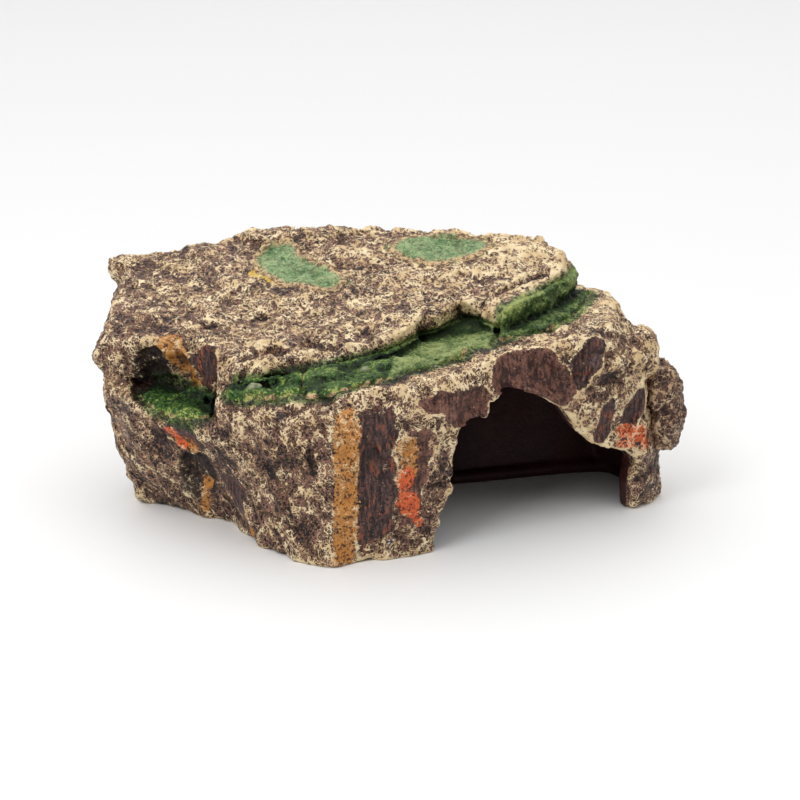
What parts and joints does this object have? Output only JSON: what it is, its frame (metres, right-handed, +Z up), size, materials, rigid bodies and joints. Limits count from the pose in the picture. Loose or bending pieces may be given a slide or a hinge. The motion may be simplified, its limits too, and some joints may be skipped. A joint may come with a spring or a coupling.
{
  "type": "resin cave ornament",
  "caption": "Hollow rock cave in painted resin, open below with one arched mouth; a shelter and decoration for a terrarium or aquarium.",
  "frame": {"origin": "on the floor, under the centre of the bounding box", "axes": "+X along the length towards the side boulder, -Y towards the front with the pillar and the mouth, +Z up"},
  "size_m": [0.27, 0.1521, 0.1153],
  "materials": {
    "rock_walls": "cast resin, dark wash with cream dry-brushed ridges, satin varnish",
    "rock_roof": "cast resin, dark wash with cream dry-brushed ridges, satin varnish",
    "rock_boulder": "cast resin, red-brown wash, satin varnish",
    "moss": "rough painted moss, satin varnish",
    "moss_film": "thin painted moss, satin varnish",
    "pebble": "varnished pebble"
  },
  "bodies": {
    "root": {"wall_shell": "rock_walls", "roof_slab": "rock_roof", "side_boulder": "rock_boulder", "ledge_moss": "moss", "crevice_moss_left": "moss", "crevice_moss_centre": "moss", "terrace_moss": "moss", "riser_moss": "moss", "roof_moss_left": "moss_film", "roof_moss_right": "moss_film", "crevice_pebble_left": "pebble", "crevice_pebble_centre": "pebble"}
  },
  "joints": []
}
